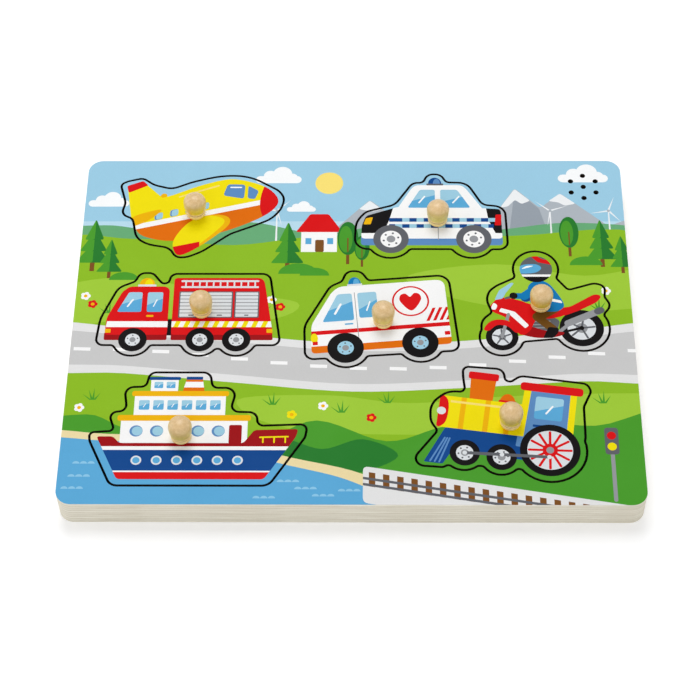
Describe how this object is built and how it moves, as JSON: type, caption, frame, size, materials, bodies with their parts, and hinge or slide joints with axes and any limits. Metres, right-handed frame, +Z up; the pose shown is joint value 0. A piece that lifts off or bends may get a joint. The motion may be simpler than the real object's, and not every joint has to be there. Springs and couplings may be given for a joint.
{
  "type": "peg puzzle",
  "caption": "Wooden sound peg puzzle: a thick printed board with recessed vehicle pieces that lift out by turned knobs, sound holes and a battery tray in its back.",
  "frame": {"origin": "middle of the board's back face, on the surface that the puzzle lies on", "axes": "+X along the board's long side, to the right in the picture; +Y away from the viewer; +Z up through the knobs"},
  "size_m": [0.3, 0.225, 0.0327],
  "materials": {
    "landscape_print": "printed in colours, sealed with a satin varnish",
    "recess_print": "printed in pale colours, matt",
    "plywood": "sawn edge, clear varnish, darkened inside the saw cuts",
    "core_plywood": "sawn edge, clear varnish",
    "back_plywood": "sanded face, clear varnish",
    "piece_plywood": "sanded, edges browned by the cutting",
    "knob_wood": "turned and waxed",
    "plane_print": "printed in colours, satin varnish",
    "fire_engine_print": "printed in colours, satin varnish",
    "ship_print": "printed in colours, satin varnish",
    "police_car_print": "printed in colours, satin varnish",
    "ambulance_print": "printed in colours, satin varnish",
    "motorbike_print": "printed in colours, satin varnish",
    "locomotive_print": "printed in colours, satin varnish",
    "speaker_steel": "pressed sheet, zinc plated",
    "magnet": "sintered, dull",
    "cone_paper": "black fibre pulp",
    "circuit_laminate": "green solder mask",
    "chip_resin": "black potting resin",
    "solder": "bright solder and small parts",
    "sensor_lens": "clear lacquer over the sensor's track",
    "sensor_wire_insulation": "smooth insulation",
    "speaker_wire_insulation": "smooth insulation",
    "battery_wire_insulation": "smooth insulation",
    "tray_plastic": "moulded, fine texture",
    "door_plastic": "moulded, fine texture",
    "zinc_steel": "zinc plated",
    "nickel_plate": "nickel plated spring steel",
    "battery_jacket": "plain printed jacket"
  },
  "bodies": {
    "root": {"board_print": "landscape_print", "top_board": "plywood", "recess_sheet": "recess_print", "core_board": "core_plywood", "back_board": "back_plywood", "speaker_basket": "speaker_steel", "speaker_magnet": "magnet", "speaker_cone": "cone_paper", "circuit_board": "circuit_laminate", "sound_chip": "chip_resin", "circuit_parts": "solder", "light_sensors": "sensor_lens", "sensor_wires": "sensor_wire_insulation", "speaker_wires": "speaker_wire_insulation", "battery_wires": "battery_wire_insulation", "battery_tray": "tray_plastic", "tray_screws": "zinc_steel", "battery_contacts": "nickel_plate", "batteries": "battery_jacket"},
    "plane": {"plane_board": "piece_plywood", "plane_print": "plane_print", "plane_knob": "knob_wood"},
    "fire_engine": {"fire_engine_board": "piece_plywood", "fire_engine_print": "fire_engine_print", "fire_engine_knob": "knob_wood"},
    "ship": {"ship_board": "piece_plywood", "ship_print": "ship_print", "ship_knob": "knob_wood"},
    "police_car": {"police_car_board": "piece_plywood", "police_car_print": "police_car_print", "police_car_knob": "knob_wood"},
    "ambulance": {"ambulance_board": "piece_plywood", "ambulance_print": "ambulance_print", "ambulance_knob": "knob_wood"},
    "motorbike": {"motorbike_board": "piece_plywood", "motorbike_print": "motorbike_print", "motorbike_knob": "knob_wood"},
    "locomotive": {"locomotive_board": "piece_plywood", "locomotive_print": "locomotive_print", "locomotive_knob": "knob_wood"},
    "battery_door": {"battery_door": "door_plastic"},
    "door_screw": {"battery_door_screw": "zinc_steel"}
  },
  "joints": [
    {"name": "plane_lift", "type": "slide", "parent": "root", "child": "plane", "axis": [0, 0, 1], "range_m": [0, 0.03]},
    {"name": "fire_engine_lift", "type": "slide", "parent": "root", "child": "fire_engine", "axis": [0, 0, 1], "range_m": [0, 0.03]},
    {"name": "ship_lift", "type": "slide", "parent": "root", "child": "ship", "axis": [0, 0, 1], "range_m": [0, 0.03]},
    {"name": "police_car_lift", "type": "slide", "parent": "root", "child": "police_car", "axis": [0, 0, 1], "range_m": [0, 0.03]},
    {"name": "ambulance_lift", "type": "slide", "parent": "root", "child": "ambulance", "axis": [0, 0, 1], "range_m": [0, 0.03]},
    {"name": "motorbike_lift", "type": "slide", "parent": "root", "child": "motorbike", "axis": [0, 0, 1], "range_m": [0, 0.03]},
    {"name": "locomotive_lift", "type": "slide", "parent": "root", "child": "locomotive", "axis": [0, 0, 1], "range_m": [0, 0.03]},
    {"name": "battery_door_slide", "type": "slide", "parent": "root", "child": "battery_door", "axis": [0, 0, -1], "range_m": [0, 0.02]},
    {"name": "door_screw_turn", "type": "hinge", "parent": "battery_door", "child": "door_screw", "pos_m": [-0.0189, 0.072, 0], "axis": [0, 0, 1], "continuous": true}
  ]
}
